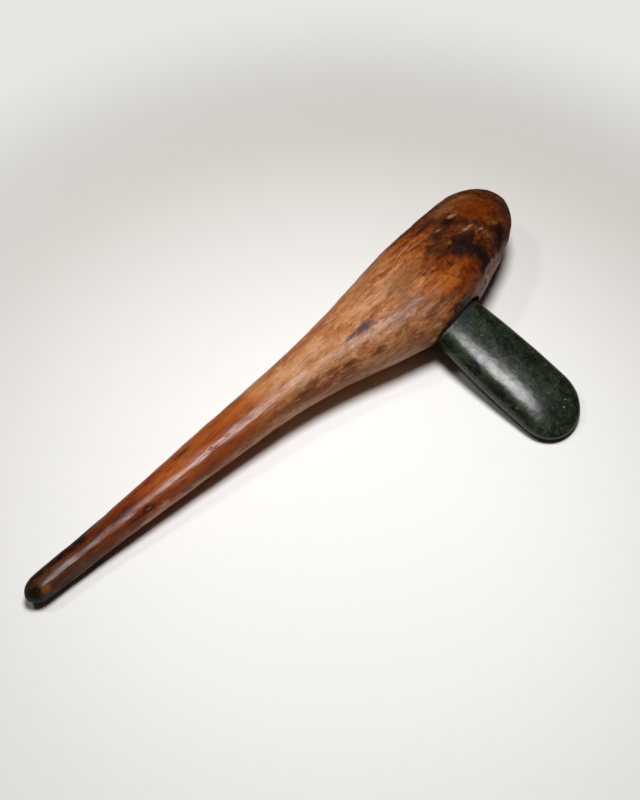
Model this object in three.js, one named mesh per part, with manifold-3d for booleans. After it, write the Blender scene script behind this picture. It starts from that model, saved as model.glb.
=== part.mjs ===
// A hafted axe that lies on its side. A club-shaped wooden haft holds a polished green stone
// axe head in a blind socket cut into the side of its swollen end.
// Millimetres, +Z up. The haft runs along +X from its butt and the blade points to -Y.

import * as THREE from 'three';
import { mergeVertices } from 'three/addons/utils/BufferGeometryUtils.js';
import Module from 'manifold-3d';

const wasm = await Module();
wasm.setup();

// Haft. Back is its +Y side and belly its -Y side, where the blade comes out.
// Each station gives where those two, its top and its underside lie at that distance along it.
const haftLength = 614;
const haftStations = [
  { along: 0, back: 13.8, belly: -9.7, top: 25, underside: -1 },
  { along: 44, back: 14.4, belly: -10.6, top: 27.3, underside: 0.2 },
  { along: 126, back: 15.5, belly: -16.1, top: 37, underside: 5 },
  { along: 224, back: 19.7, belly: -23.2, top: 49, underside: 7.5 },
  { along: 280, back: 20.7, belly: -28.7, top: 56.5, underside: 7.5 },
  { along: 339, back: 24.7, belly: -40.5, top: 66, underside: 4.5 },
  { along: 400, back: 32.5, belly: -58, top: 77.5, underside: 1 },
  { along: 450, back: 40.2, belly: -68.5, top: 86, underside: -0.8 },
  { along: 500, back: 44.8, belly: -60, top: 87.5, underside: -0.7 },
  { along: 545, back: 47.6, belly: -44.6, top: 85, underside: 2.5 },
  { along: 614, back: 51.5, belly: -24, top: 68, underside: 18 },
];
const buttRound = { length: 17, bulge: 2.2, fullness: 1.9 };
const noseRound = { length: 71, bulge: 2.3, fullness: 2.1 };
const haftSides = 48;
const haftStep = 12;

// Stone. Distances run from the middle of the cutting edge to the butt hidden in the socket.
const stoneLength = 208;
const stoneStations = [
  { along: 0, halfWidth: 35.9, halfThick: 15.4 },
  { along: 60, halfWidth: 35.9, halfThick: 15.8 },
  { along: 110, halfWidth: 34.6, halfThick: 15.6 },
  { along: 150, halfWidth: 31.9, halfThick: 14.6 },
  { along: 208, halfWidth: 25, halfThick: 10.5 },
];
const edgeCurveLength = 34.5; // how far back the rounded cutting edge reaches
const edgeSkew = 0.14; // the edge is worn back further on the side towards the haft's nose
const edgeThinLength = 84; // how far back the faces slope down to that edge
const edgeThinPower = 0.62;
const edgeBluntPower = 12; // a high power keeps the edge's thickness until just short of its tip
const edgeHalfThick = 1.3;
const stoneButtRound = { length: 22, bulge: 2, fullness: 2 };
const stoneSectionPower = 0.86; // under 1 gives fuller, squarer sides than an ellipse
const stoneSides = 40;
const stoneStep = 9;
const endRings = 8; // how many rings close up each rounded end, on the stone and the haft alike

// Where the stone sits in the haft: its mid plane crosses the mouth at this point, and the blade
// slopes down from there until its lower face meets the ground.
const mouth = { along: 460.6, across: -62, height: 32.2 };
const mouthFromEdge = 149.5;
const bladeSlope = THREE.MathUtils.degToRad(10.2);

// Socket: a close fit round the stone's butt, opening out to a worn and gaping mouth.
const socketGap = 0.5;
const mouthGap = 8.5; // over the stone's two faces
const mouthSideShare = 0.24; // the share of that gap left at the stone's two narrow sides
const mouthFlareLength = 16;
const mostFlare = 1.2; // in flare lengths, counted from where the flare starts
const cutterLead = 48; // how far in front of the mouth the shape that cuts the socket starts

const woodLook = { color: 0x7a4728, roughness: 0.35, metalness: 0 };
const stoneLook = { color: 0x2d4034, roughness: 0.25, metalness: 0 };

// A value at one place along a row of stations, on a smooth curve through all of them.
function through(stations, key, place) {
  const last = stations.length - 1;
  const slopeBetween = (i) => (stations[i + 1][key] - stations[i][key])
    / (stations[i + 1].along - stations[i].along);
  const slopeAt = (i) => {
    if (i === 0) return slopeBetween(0);
    if (i === last) return slopeBetween(last - 1);
    const before = stations[i].along - stations[i - 1].along;
    const after = stations[i + 1].along - stations[i].along;
    return (slopeBetween(i - 1) * after + slopeBetween(i) * before) / (before + after);
  };
  let i = 0;
  while (i < last - 1 && place > stations[i + 1].along) i += 1;
  const span = stations[i + 1].along - stations[i].along;
  const t = (place - stations[i].along) / span;
  const t2 = t * t;
  const t3 = t2 * t;
  return (2 * t3 - 3 * t2 + 1) * stations[i][key]
    + (t3 - 2 * t2 + t) * span * slopeAt(i)
    + (3 * t2 - 2 * t3) * stations[i + 1][key]
    + (t3 - t2) * span * slopeAt(i + 1);
}

// The share of its full size that a rounded end has at a distance in from its tip.
function roundedEnd(fromTip, { length, bulge, fullness }) {
  const u = THREE.MathUtils.clamp(1 - fromTip / length, 0, 1);
  return (1 - u ** bulge) ** (1 / fullness);
}

// Places along a piece: even steps in the middle, closing up towards both rounded ends.
function placesAlong(length, startRound, endRound, step) {
  const places = [];
  for (let i = 1; i <= endRings; i += 1) {
    places.push(startRound * (1 - Math.cos((i / endRings) * Math.PI / 2)));
  }
  const middle = length - startRound - endRound;
  const count = Math.round(middle / step);
  for (let i = 1; i < count; i += 1) places.push(startRound + (middle * i) / count);
  for (let i = endRings; i >= 1; i -= 1) {
    places.push(length - endRound * (1 - Math.cos((i / endRings) * Math.PI / 2)));
  }
  return places;
}

// A closed skin over a row of rings, with one point closing each end.
function skin(rings, startPoint, endPoint) {
  const sides = rings[0].length;
  const points = [startPoint, ...rings.flat(), endPoint];
  const endIndex = points.length - 1;
  const at = (ring, side) => 1 + ring * sides + (side % sides);
  const faces = [];
  for (let side = 0; side < sides; side += 1) {
    faces.push(0, at(0, side + 1), at(0, side));
    faces.push(endIndex, at(rings.length - 1, side), at(rings.length - 1, side + 1));
    for (let ring = 0; ring < rings.length - 1; ring += 1) {
      faces.push(at(ring, side), at(ring + 1, side + 1), at(ring + 1, side));
      faces.push(at(ring, side), at(ring, side + 1), at(ring + 1, side + 1));
    }
  }
  const geometry = new THREE.BufferGeometry().setFromPoints(points);
  geometry.setIndex(faces);
  return geometry;
}

// Flat spots: whatever would reach below the ground is pressed flat onto it.
function restOnGround(point) {
  return point.setZ(Math.max(point.z, 0));
}

function haftPoint(along, angle) {
  const [back, belly, top, underside] = ['back', 'belly', 'top', 'underside']
    .map((key) => through(haftStations, key, along));
  const size = roundedEnd(along, buttRound) * roundedEnd(haftLength - along, noseRound);
  return restOnGround(new THREE.Vector3(
    along,
    (back + belly) / 2 + size * ((back - belly) / 2) * Math.cos(angle),
    (top + underside) / 2 + size * ((top - underside) / 2) * Math.sin(angle),
  ));
}

function haftGeometry() {
  const rings = placesAlong(haftLength, buttRound.length, noseRound.length, haftStep)
    .map((along) => Array.from(
      { length: haftSides },
      (_, side) => haftPoint(along, (side / haftSides) * 2 * Math.PI),
    ));
  return skin(rings, haftPoint(0, 0), haftPoint(haftLength, 0));
}

// The stone in its own frame: cutting edge at x = 0, butt at +X, width along Y, thickness along Z.
function stonePoint(along, angle, sideGrowth, faceGrowth) {
  const width = through(stoneStations, 'halfWidth', along);
  const thick = through(stoneStations, 'halfThick', along);
  const edge = THREE.MathUtils.clamp(1 - along / edgeCurveLength, 0, 1);
  const thin = THREE.MathUtils.clamp(1 - along / edgeThinLength, 0, 1);
  const butt = roundedEnd(stoneLength - along, stoneButtRound);
  const halfWidth = width * Math.sqrt(1 - edge ** 2) * butt + sideGrowth;
  const slopedThick = edgeHalfThick + (thick - edgeHalfThick) * (1 - thin ** 2) ** edgeThinPower;
  const halfThick = slopedThick * Math.sqrt(1 - edge ** edgeBluntPower) * butt
    + faceGrowth;
  const c = Math.cos(angle);
  const s = Math.sin(angle);
  const side = halfWidth * Math.sign(c) * Math.abs(c) ** stoneSectionPower;
  const face = halfThick * Math.sign(s) * Math.abs(s) ** stoneSectionPower;
  return new THREE.Vector3(along - edgeSkew * side, side, face);
}

function stoneRing(along, sideGrowth = 0, faceGrowth = 0) {
  return Array.from(
    { length: stoneSides },
    (_, side) => stonePoint(along, (side / stoneSides) * 2 * Math.PI, sideGrowth, faceGrowth),
  );
}

// From the stone's own frame to its place in the haft.
const stonePlace = new THREE.Matrix4()
  .makeTranslation(mouth.along, mouth.across, mouth.height)
  .multiply(new THREE.Matrix4().makeRotationZ(Math.PI / 2))
  .multiply(new THREE.Matrix4().makeRotationY(-bladeSlope))
  .multiply(new THREE.Matrix4().makeTranslation(-mouthFromEdge, 0, 0));

function stoneGeometry() {
  const rings = placesAlong(stoneLength, edgeCurveLength, stoneButtRound.length, stoneStep)
    .map((along) => stoneRing(along));
  const geometry = skin(rings, new THREE.Vector3(0, 0, 0), new THREE.Vector3(stoneLength, 0, 0));
  geometry.applyMatrix4(stonePlace);
  const positions = geometry.attributes.position;
  for (let i = 0; i < positions.count; i += 1) {
    positions.setZ(i, Math.max(positions.getZ(i), 0));
  }
  return geometry;
}

// The space cut for the stone: its butt made larger all round, and larger still near the mouth.
function socketGeometry() {
  const bottom = stoneLength + socketGap;
  const start = mouthFromEdge - cutterLead;
  const places = [];
  for (let along = start; along < stoneLength - stoneButtRound.length; along += stoneStep / 2) {
    places.push(along);
  }
  placesAlong(stoneLength, edgeCurveLength, stoneButtRound.length, stoneStep)
    .filter((along) => along >= stoneLength - stoneButtRound.length)
    .forEach((along) => places.push(along));
  const rings = places.map((along) => {
    const flare = (mouthFromEdge - along) / mouthFlareLength + 1;
    const gape = mouthGap * THREE.MathUtils.clamp(flare, 0, mostFlare) ** 2;
    return stoneRing(along, socketGap + mouthSideShare * gape, socketGap + gape);
  });
  const geometry = skin(rings, new THREE.Vector3(start, 0, 0), new THREE.Vector3(bottom, 0, 0));
  return geometry.applyMatrix4(stonePlace);
}

function toSolid(geometry) {
  const bare = geometry.clone();
  bare.deleteAttribute('normal');
  bare.deleteAttribute('uv');
  const merged = mergeVertices(bare);
  return new wasm.Manifold(new wasm.Mesh({
    numProp: 3,
    vertProperties: new Float32Array(merged.attributes.position.array),
    triVerts: new Uint32Array(merged.index.array),
  }));
}

function toGeometry(solid) {
  const mesh = solid.getMesh();
  const geometry = new THREE.BufferGeometry();
  geometry.setAttribute('position', new THREE.BufferAttribute(mesh.vertProperties, 3));
  geometry.setIndex(new THREE.BufferAttribute(mesh.triVerts, 1));
  return geometry;
}

function piece(name, geometry, look) {
  const mesh = new THREE.Mesh(geometry, new THREE.MeshStandardMaterial(look));
  mesh.name = name;
  return mesh;
}

const haft = piece('haft', toGeometry(toSolid(haftGeometry()).subtract(toSolid(socketGeometry()))),
  woodLook);
const axeHead = piece('axe_head', toGeometry(toSolid(stoneGeometry())), stoneLook);

// The group is moved so that its origin is the middle of the bounding box's floor.
const axe = new THREE.Group();
axe.add(haft, axeHead);
const bounds = new THREE.Box3().setFromObject(axe);
const middle = bounds.getCenter(new THREE.Vector3());
axe.position.set(-middle.x, -middle.y, -bounds.min.z);

export default axe;
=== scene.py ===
from math import copysign, cos, pi, radians, sin, sqrt

import bmesh
import bpy
from mathutils import Euler, Matrix, Vector


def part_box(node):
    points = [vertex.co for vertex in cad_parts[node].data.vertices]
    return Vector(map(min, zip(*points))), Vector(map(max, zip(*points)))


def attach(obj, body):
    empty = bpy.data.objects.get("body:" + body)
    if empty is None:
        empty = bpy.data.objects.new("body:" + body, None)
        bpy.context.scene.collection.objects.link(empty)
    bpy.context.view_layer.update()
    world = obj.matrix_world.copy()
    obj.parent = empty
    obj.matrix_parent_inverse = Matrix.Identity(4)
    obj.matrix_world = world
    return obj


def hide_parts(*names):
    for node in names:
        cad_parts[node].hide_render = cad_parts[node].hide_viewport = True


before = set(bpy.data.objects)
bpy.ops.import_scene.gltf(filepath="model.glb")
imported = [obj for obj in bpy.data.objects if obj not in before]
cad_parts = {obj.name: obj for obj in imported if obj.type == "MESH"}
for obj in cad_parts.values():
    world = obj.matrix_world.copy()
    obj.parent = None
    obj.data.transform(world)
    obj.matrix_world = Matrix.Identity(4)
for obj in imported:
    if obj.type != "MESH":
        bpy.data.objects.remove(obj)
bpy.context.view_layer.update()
haftLow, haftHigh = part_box("haft")
print("frame loaded")


# small tools that the haft and the stone share
def selectNothing():
    bpy.ops.object.select_all(action="DESELECT")


def makeActive(piece):
    selectNothing()
    piece.select_set(True)
    bpy.context.view_layer.objects.active = piece


def pickVertices(piece, wanted):
    # in edit mode: selects only the vertices whose place passes the test
    mesh = bmesh.from_edit_mesh(piece.data)
    for vertex in mesh.verts:
        vertex.select = wanted(vertex.co)
    mesh.select_flush_mode()
    bmesh.update_edit_mesh(piece.data)


def applyModifier(piece, kind, **settings):
    makeActive(piece)
    bpy.ops.object.modifier_add(type=kind)
    modifier = piece.modifiers[-1]
    for name, value in settings.items():
        setattr(modifier, name, value)
    bpy.ops.object.modifier_apply(modifier=modifier.name)


def subdivide(piece, levels):
    applyModifier(piece, "SUBSURF", levels=levels, render_levels=levels)


def roughen(piece, name, values, group):
    # pushes a group's surface in and out by a cloud pattern, drawn out along each axis by stretch
    clouds = bpy.data.textures.new(name, "CLOUDS")
    clouds.noise_scale = values["size"]
    selectNothing()
    bpy.ops.object.empty_add(location=(0, 0, 0))
    guide = bpy.context.object
    guide.scale = values["stretch"]
    bpy.context.view_layer.update()
    applyModifier(piece, "DISPLACE", texture=clouds, texture_coords="OBJECT", texture_coords_object=guide,
                  strength=values["strength"], mid_level=values["level"], vertex_group=group)
    bpy.data.objects.remove(guide)


def addGroup(piece, name, wanted):
    # a vertex group whose weights come from each vertex's place
    group = piece.vertex_groups.new(name=name)
    for vertex in piece.data.vertices:
        weight = wanted(vertex.co)
        if weight > 0:
            group.add([vertex.index], min(weight, 1), "REPLACE")


def dropGroups(piece):
    for group in list(piece.vertex_groups):
        piece.vertex_groups.remove(group)


def smoothStep(value, low, high):
    t = min(max((value - low) / (high - low), 0), 1)
    return t * t * (3 - 2 * t)


def onCurve(stations, column, along):
    # the value of one column at a place along a row of stations, on a smooth curve through all
    last = len(stations) - 1

    def slopeBetween(i):
        run = stations[i + 1][0] - stations[i][0]
        return (stations[i + 1][column] - stations[i][column]) / run

    def slopeAt(i):
        if i == 0:
            return slopeBetween(0)
        if i == last:
            return slopeBetween(last - 1)
        before = stations[i][0] - stations[i - 1][0]
        after = stations[i + 1][0] - stations[i][0]
        return (slopeBetween(i - 1) * after + slopeBetween(i) * before) / (before + after)

    i = 0
    while i < last - 1 and along > stations[i + 1][0]:
        i += 1
    span = stations[i + 1][0] - stations[i][0]
    t = (along - stations[i][0]) / span
    # a cubic through both neighbours, with the slopes found for them
    return ((2 * t**3 - 3 * t**2 + 1) * stations[i][column] + (t**3 - 2 * t**2 + t) * span * slopeAt(i)
            + (3 * t**2 - 2 * t**3) * stations[i + 1][column] + (t**3 - t**2) * span * slopeAt(i + 1))


def roundedEnd(fromTip, ending):
    # the share of its full size that a rounded end has at a distance in from its tip
    u = min(max(1 - fromTip / ending["length"], 0), 1)
    return (1 - u ** ending["bulge"]) ** (1 / ending["fullness"])


def ringPlaces(length, startLength, endLength, step, endRings):
    # even steps in the middle, closing up towards both rounded ends
    closing = [1 - cos(i / endRings * pi / 2) for i in range(1, endRings + 1)]
    middle = length - startLength - endLength
    count = round(middle / step)
    evenly = [startLength + middle * i / count for i in range(1, count)]
    return [startLength * c for c in closing] + evenly + [length - endLength * c for c in reversed(closing)]


sameRing = 1e-6  # vertices this close along x belong to one ring


def loft(name, sides, rings, startTip, endTip, squareness=1):
    # a circle drawn out ring by ring along x; each ring is (centre, half across y, half up z)
    centre, across, up = rings[0]
    selectNothing()
    bpy.ops.mesh.primitive_circle_add(vertices=sides, radius=1, location=centre, rotation=(0, pi / 2, 0))
    piece = bpy.context.object
    piece.name = name
    piece.data.name = name
    bpy.ops.object.transform_apply(location=True, rotation=True, scale=True)
    for vertex in piece.data.vertices:
        # under 1 gives fuller, squarer sides than a circle
        for axis in (1, 2):
            share = vertex.co[axis] - centre[axis]
            vertex.co[axis] = centre[axis] + copysign(abs(share) ** squareness, share)
    bpy.ops.object.mode_set(mode="EDIT")
    bpy.ops.mesh.select_all(action="SELECT")
    bpy.ops.transform.resize(value=(1, across, up), center_override=centre)
    for before, after in zip(rings, rings[1:]):
        widening = (1, after[1] / before[1], after[2] / before[2])
        bpy.ops.mesh.extrude_region_move(TRANSFORM_OT_translate={"value": after[0] - before[0]})
        bpy.ops.transform.resize(value=widening, center_override=after[0])
    bpy.ops.mesh.extrude_region_move(TRANSFORM_OT_translate={"value": endTip - rings[-1][0]})
    bpy.ops.mesh.merge(type="CENTER")
    pickVertices(piece, lambda place: abs(place.x - centre.x) < sameRing)
    bpy.ops.mesh.extrude_region_move(TRANSFORM_OT_translate={"value": startTip - centre})
    bpy.ops.mesh.merge(type="CENTER")
    bpy.ops.mesh.select_all(action="SELECT")
    bpy.ops.mesh.normals_make_consistent(inside=False)
    bpy.ops.object.mode_set(mode="OBJECT")
    return piece


def settle(piece, height=0):
    # presses whatever lies below a height flat onto it
    makeActive(piece)
    bpy.ops.object.mode_set(mode="EDIT")
    pickVertices(piece, lambda place: place.z < height)
    bpy.ops.transform.resize(value=(1, 1, 0), center_override=(0, 0, height))
    bpy.ops.mesh.select_all(action="DESELECT")
    bpy.ops.object.mode_set(mode="OBJECT")


haftValues = {
    "length": 0.614,
    "searchSteps": 2000,  # how finely the haft is searched for its widest place
    # distance from the butt, then where the back, belly, top and underside lie there
    "stations": [
        (0, 0.0138, -0.0097, 0.0250, -0.0010),
        (0.044, 0.0144, -0.0106, 0.0273, 0.0002),
        (0.126, 0.0155, -0.0161, 0.0370, 0.0050),
        (0.224, 0.0197, -0.0232, 0.0490, 0.0075),
        (0.280, 0.0207, -0.0287, 0.0565, 0.0075),
        (0.339, 0.0247, -0.0405, 0.0660, 0.0045),
        (0.400, 0.0325, -0.0580, 0.0775, 0.0010),
        (0.450, 0.0402, -0.0685, 0.0860, -0.0008),
        (0.500, 0.0448, -0.0600, 0.0875, -0.0007),
        (0.545, 0.0476, -0.0446, 0.0850, 0.0025),
        (0.614, 0.0515, -0.0240, 0.0680, 0.0180),
    ],
    "buttRound": {"length": 0.017, "bulge": 2.2, "fullness": 1.9},
    "noseRound": {"length": 0.071, "bulge": 2.3, "fullness": 2.1},
    "sides": 56,
    "step": 0.0072,
    "endRings": 9,
    "subdivisions": 2,
}


def haftSection(along):
    # middle across, middle up, half across and half up at a distance from the butt
    back, belly, top, under = [onCurve(haftValues["stations"], column, along) for column in (1, 2, 3, 4)]
    size = (roundedEnd(along, haftValues["buttRound"])
            * roundedEnd(haftValues["length"] - along, haftValues["noseRound"]))
    return (back + belly) / 2, (top + under) / 2, size * (back - belly) / 2, size * (top - under) / 2


def findHaftOrigin():
    # the foot of the haft's line under the middle of its butt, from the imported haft's box
    steps = haftValues["searchSteps"]
    places = [haftValues["length"] * i / steps for i in range(steps + 1)]
    backReach = max(middle + half for middle, _, half, _ in map(haftSection, places))
    return Vector((haftLow.x, haftHigh.y - backReach, 0))


haftOrigin = findHaftOrigin()


def haftPoint(along, turn):
    # turn in degrees round the haft: 0 is its back, 90 its top and 180 its belly
    across, up, halfAcross, halfUp = haftSection(along)
    place = Vector((along, across + halfAcross * cos(radians(turn)), up + halfUp * sin(radians(turn))))
    return haftOrigin + place


def haftNormal(along, turn):
    forward = haftPoint(along + 0.001, turn) - haftPoint(along - 0.001, turn)
    sideways = haftPoint(along, turn + 1) - haftPoint(along, turn - 1)
    return sideways.cross(forward).normalized()


def makeHaftBody():
    places = ringPlaces(haftValues["length"], haftValues["buttRound"]["length"],
                        haftValues["noseRound"]["length"], haftValues["step"], haftValues["endRings"])
    rings = []
    for along in places:
        across, up, halfAcross, halfUp = haftSection(along)
        rings.append((haftOrigin + Vector((along, across, up)), halfAcross, halfUp))
    ends = []
    for along in (0, haftValues["length"]):
        across, up, _, _ = haftSection(along)
        ends.append(haftOrigin + Vector((along, across, up)))
    body = loft("woodHaft", haftValues["sides"], rings, ends[0], ends[1])
    subdivide(body, haftValues["subdivisions"])
    return body


haft = makeHaftBody()
print("haft drawn out:", len(haft.data.polygons), "faces")


# wear all over the haft: hand-worn facets, dimples, raised grain, and lumps on its head
haftRelief = {
    "facets": {"size": 0.030, "stretch": (2.6, 1, 1), "strength": 0.0019, "level": 0.68},
    "dimples": {"size": 0.0075, "stretch": (2.6, 1, 1), "strength": 0.0005, "level": 0.6},
    "grain": {"size": 0.0045, "stretch": (14, 1, 1), "strength": 0.0003, "level": 0.6},
    "headLumps": {"size": 0.011, "stretch": (1.3, 1, 1), "strength": 0.0016, "level": 0.7},
    "floorMargin": 0.004,  # nothing moves this close to the ground
    "headFrom": (0.36, 0.47),  # distances from the butt over which the head's lumps set in
}

# dents, knots and cracks: distance from the butt, turn round the haft in degrees, half length,
# half width, depth (bumps are below 0) and how far its soft edge reaches
haftDents = {
    "knotHollow": (0.119, 141, 0.0060, 0.0024, 0.0006, 0.0026),
    "knotEye": (0.1195, 141, 0.0030, 0.0012, -0.0006, 0.0018),
    "gripPit": (0.192, 115, 0.0016, 0.0008, 0.0008, 0.0016),
    "secondPit": (0.212, 116, 0.0012, 0.0008, 0.0007, 0.0015),
    "edgeNick": (0.176, 84, 0.0030, 0.0008, 0.0005, 0.0020),
    "buttFlat": (0.004, 112, 0.0050, 0.0060, 0.0007, 0.0050),
    "hatchHollow": (0.366, 107, 0.0110, 0.0022, 0.0004, 0.0040),
    "hatchCrack": (0.346, 117, 0.0080, 0.0006, 0.0005, 0.0014),
    "crownHollow": (0.487, 112, 0.0080, 0.0060, 0.0006, 0.0090),
    "crownFurrow": (0.509, 133, 0.0100, 0.0050, 0.0007, 0.0080),
    "noseArc": (0.539, 160, 0.0040, 0.0100, 0.0009, 0.0040),
    "backFurrow": (0.512, 81, 0.0120, 0.0020, 0.0009, 0.0035),
    "lipScoop": (0.455, 156, 0.0040, 0.0025, 0.0020, 0.0035),
    "lipSlit": (0.505, 168, 0.0012, 0.0024, 0.0011, 0.0014),
    "lipKnob": (0.4235, 182, 0.0022, 0.0020, -0.0016, 0.0034),
    "noseLineOne": (0.580, 96, 0.0010, 0.0110, 0.0006, 0.0014),
    "noseLineTwo": (0.585, 84, 0.0010, 0.0090, 0.0005, 0.0014),
    "noseLineThree": (0.573, 108, 0.0010, 0.0100, 0.0005, 0.0014),
    "cheekHollow": (0.430, 140, 0.0160, 0.0060, 0.0010, 0.0080),
    "cheekPit": (0.452, 132, 0.0020, 0.0014, 0.0008, 0.0016),
    "redPit": (0.361, 132, 0.0035, 0.0012, 0.0007, 0.0018),
    "bellyCrack": (0.560, 200, 0.0260, 0.0008, 0.0013, 0.0018),
    "backCrack": (0.330, 20, 0.0300, 0.0006, 0.0010, 0.0016),
    "underKnot": (0.250, 262, 0.0060, 0.0040, 0.0014, 0.0040),
    "backKnot": (0.420, 8, 0.0055, 0.0045, 0.0012, 0.0040),
}


def pressDent(piece, along, turn, halfLength, halfWidth, depth, softness):
    middle = haftPoint(along, turn)
    inward = -haftNormal(along, turn)

    def inDent(place):
        away = place - middle
        lengthwise = away.x / halfLength
        across = sqrt(away.y**2 + away.z**2) / halfWidth
        return lengthwise**2 + across**2 < 1

    pickVertices(piece, inDent)
    bpy.ops.transform.translate(value=inward * depth, use_proportional_edit=True,
                                proportional_edit_falloff="SMOOTH", proportional_size=softness)


def wearHaft(piece):
    margin = haftRelief["floorMargin"]
    headStart, headFull = [haftOrigin.x + along for along in haftRelief["headFrom"]]
    addGroup(piece, "worn", lambda place: smoothStep(place.z, margin / 2, margin * 2))
    addGroup(piece, "head", lambda place: smoothStep(place.x, headStart, headFull)
             * smoothStep(place.z, margin / 2, margin * 2))
    for name, group in (("facets", "worn"), ("dimples", "worn"), ("grain", "worn"), ("headLumps", "head")):
        roughen(piece, name, haftRelief[name], group)
    makeActive(piece)
    bpy.ops.object.mode_set(mode="EDIT")
    bpy.ops.mesh.select_mode(type="VERT")
    for dent in haftDents.values():
        pressDent(piece, *dent)
    bpy.ops.object.mode_set(mode="OBJECT")
    dropGroups(piece)


wearHaft(haft)
print("haft worn")


stoneValues = {
    "length": 0.208,
    # distance from the cutting edge, then half the width and half the thickness there
    "stations": [
        (0, 0.0359, 0.0154),
        (0.060, 0.0359, 0.0158),
        (0.110, 0.0346, 0.0156),
        (0.150, 0.0319, 0.0146),
        (0.208, 0.0250, 0.0105),
    ],
    "edgeCurve": 0.0345,
    "edgeSkew": 0.14,
    "edgeThin": 0.084,
    "edgeThinPower": 0.62,
    "edgeBluntPower": 12,
    "edgeHalfThick": 0.0013,
    "buttRound": {"length": 0.022, "bulge": 2, "fullness": 2},
    "squareness": 0.86,
    "sides": 48,
    "step": 0.007,
    "endRings": 10,
    "subdivisions": 2,
    "mouth": Vector((0.4606, -0.0620, 0.0322)),  # where it enters the haft, from the haft's origin
    "mouthFromEdge": 0.1495,
    "slope": radians(10.2),
}

socketValues = {
    "gap": 0.0005,
    "mouthGap": 0.0085,  # over the blade's faces
    "sideShare": 0.24,  # the mouth gapes less at the blade's two edges than over its faces
    "flareLength": 0.016,
    "mostFlare": 1.2,  # in flare lengths, counted from where the flare starts
    "lead": 0.048,  # how far in front of the mouth the cutter starts
    "step": 0.004,
    "endRings": 6,
    "subdivisions": 2,
    "wornDepth": (0.004, 0.030),  # depths in the socket over which the wear at its mouth dies out
    "chips": {"size": 0.005, "stretch": (1, 1, 1), "strength": 0.0034, "level": 0.5},
    "waves": {"size": 0.018, "stretch": (1, 1, 1), "strength": 0.0026, "level": 0.5},
}


def stoneSection(along):
    # half across and half thick at a distance from the cutting edge
    width = onCurve(stoneValues["stations"], 1, along)
    thick = onCurve(stoneValues["stations"], 2, along)
    edge = min(max(1 - along / stoneValues["edgeCurve"], 0), 1)
    thin = min(max(1 - along / stoneValues["edgeThin"], 0), 1)
    butt = roundedEnd(stoneValues["length"] - along, stoneValues["buttRound"])
    least = stoneValues["edgeHalfThick"]
    sloped = least + (thick - least) * (1 - thin**2) ** stoneValues["edgeThinPower"]
    blunted = sloped * sqrt(1 - edge ** stoneValues["edgeBluntPower"])
    return width * sqrt(1 - edge**2) * butt, blunted * butt


# from the blade's own frame, cutting edge at x = 0, to its place in the haft
skew = Matrix.Identity(4)
skew[0][1] = -stoneValues["edgeSkew"]
mouthPlace = haftOrigin + stoneValues["mouth"]
mouthTurn = Euler((0, -stoneValues["slope"], pi / 2))
stonePlace = (Matrix.Translation(mouthPlace) @ mouthTurn.to_matrix().to_4x4()
              @ Matrix.Translation((-stoneValues["mouthFromEdge"], 0, 0)) @ skew)


def makeStone():
    length = stoneValues["length"]
    places = ringPlaces(length, stoneValues["edgeCurve"], stoneValues["buttRound"]["length"],
                        stoneValues["step"], stoneValues["endRings"])
    rings = [(Vector((along, 0, 0)), *stoneSection(along)) for along in places]
    tips = [Vector((0, 0, 0)), Vector((length, 0, 0))]
    stone = loft("stoneBlade", stoneValues["sides"], rings, *tips, stoneValues["squareness"])
    subdivide(stone, stoneValues["subdivisions"])
    stone.data.transform(stonePlace)
    return stone


def makeSocketCutter():
    length = stoneValues["length"]
    start = stoneValues["mouthFromEdge"] - socketValues["lead"]
    end = length - stoneValues["buttRound"]["length"]
    count = round((end - start) / socketValues["step"])
    endRings = socketValues["endRings"]
    places = [start + (end - start) * i / count for i in range(count)]
    places += [end + (length - end) * sin(i / endRings * pi / 2) for i in range(endRings)]
    rings = []
    for along in places:
        # the flare starts one flare length inside the mouth
        flare = (stoneValues["mouthFromEdge"] - along) / socketValues["flareLength"] + 1
        opening = min(max(flare, 0), socketValues["mostFlare"])
        growth = socketValues["gap"] + socketValues["mouthGap"] * opening**2
        across, thick = stoneSection(along)
        sideGrowth = growth * socketValues["sideShare"]
        rings.append((Vector((along, 0, 0)), across + sideGrowth, thick + growth))
    tips = [Vector((start - socketValues["gap"], 0, 0)), Vector((length + socketValues["gap"], 0, 0))]
    cutter = loft("socketCutter", stoneValues["sides"], rings, *tips, stoneValues["squareness"])
    subdivide(cutter, socketValues["subdivisions"])
    cutter.data.transform(stonePlace)
    wornFrom, wornTo = [mouthPlace.y + depth for depth in socketValues["wornDepth"]]
    addGroup(cutter, "mouth", lambda place: 1 - smoothStep(place.y, wornFrom, wornTo))
    for name in ("waves", "chips"):
        roughen(cutter, name, socketValues[name], "mouth")
    return cutter


def cutSocket(piece):
    cutter = makeSocketCutter()
    applyModifier(piece, "BOOLEAN", object=cutter, operation="DIFFERENCE", solver="EXACT")
    bpy.data.objects.remove(cutter)


cutSocket(haft)
settle(haft)
print("socket cut:", len(haft.data.polygons), "faces")

# the stone is gently uneven all over, with traces of pecking under its polish
stoneRelief = {
    "swells": {"size": 0.030, "stretch": (1, 1.6, 1), "strength": 0.0006, "level": 0.75},
    "pecks": {"size": 0.0045, "stretch": (1, 1.2, 1), "strength": 0.00020, "level": 0.7},
    "floorMargin": 0.0015,
}


def wearStone(piece):
    margin = stoneRelief["floorMargin"]
    addGroup(piece, "worn", lambda place: smoothStep(place.z, margin / 2, margin * 3))
    for name in ("swells", "pecks"):
        roughen(piece, name, stoneRelief[name], "worn")
    dropGroups(piece)


stone = makeStone()
wearStone(stone)
settle(stone)
print("stone blade made:", len(stone.data.polygons), "faces")

creaseAngle = radians(50)  # only sharper folds than this stay hard

for piece in (haft, stone):
    makeActive(piece)
    bpy.ops.object.shade_smooth_by_angle(angle=creaseAngle)


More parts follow.
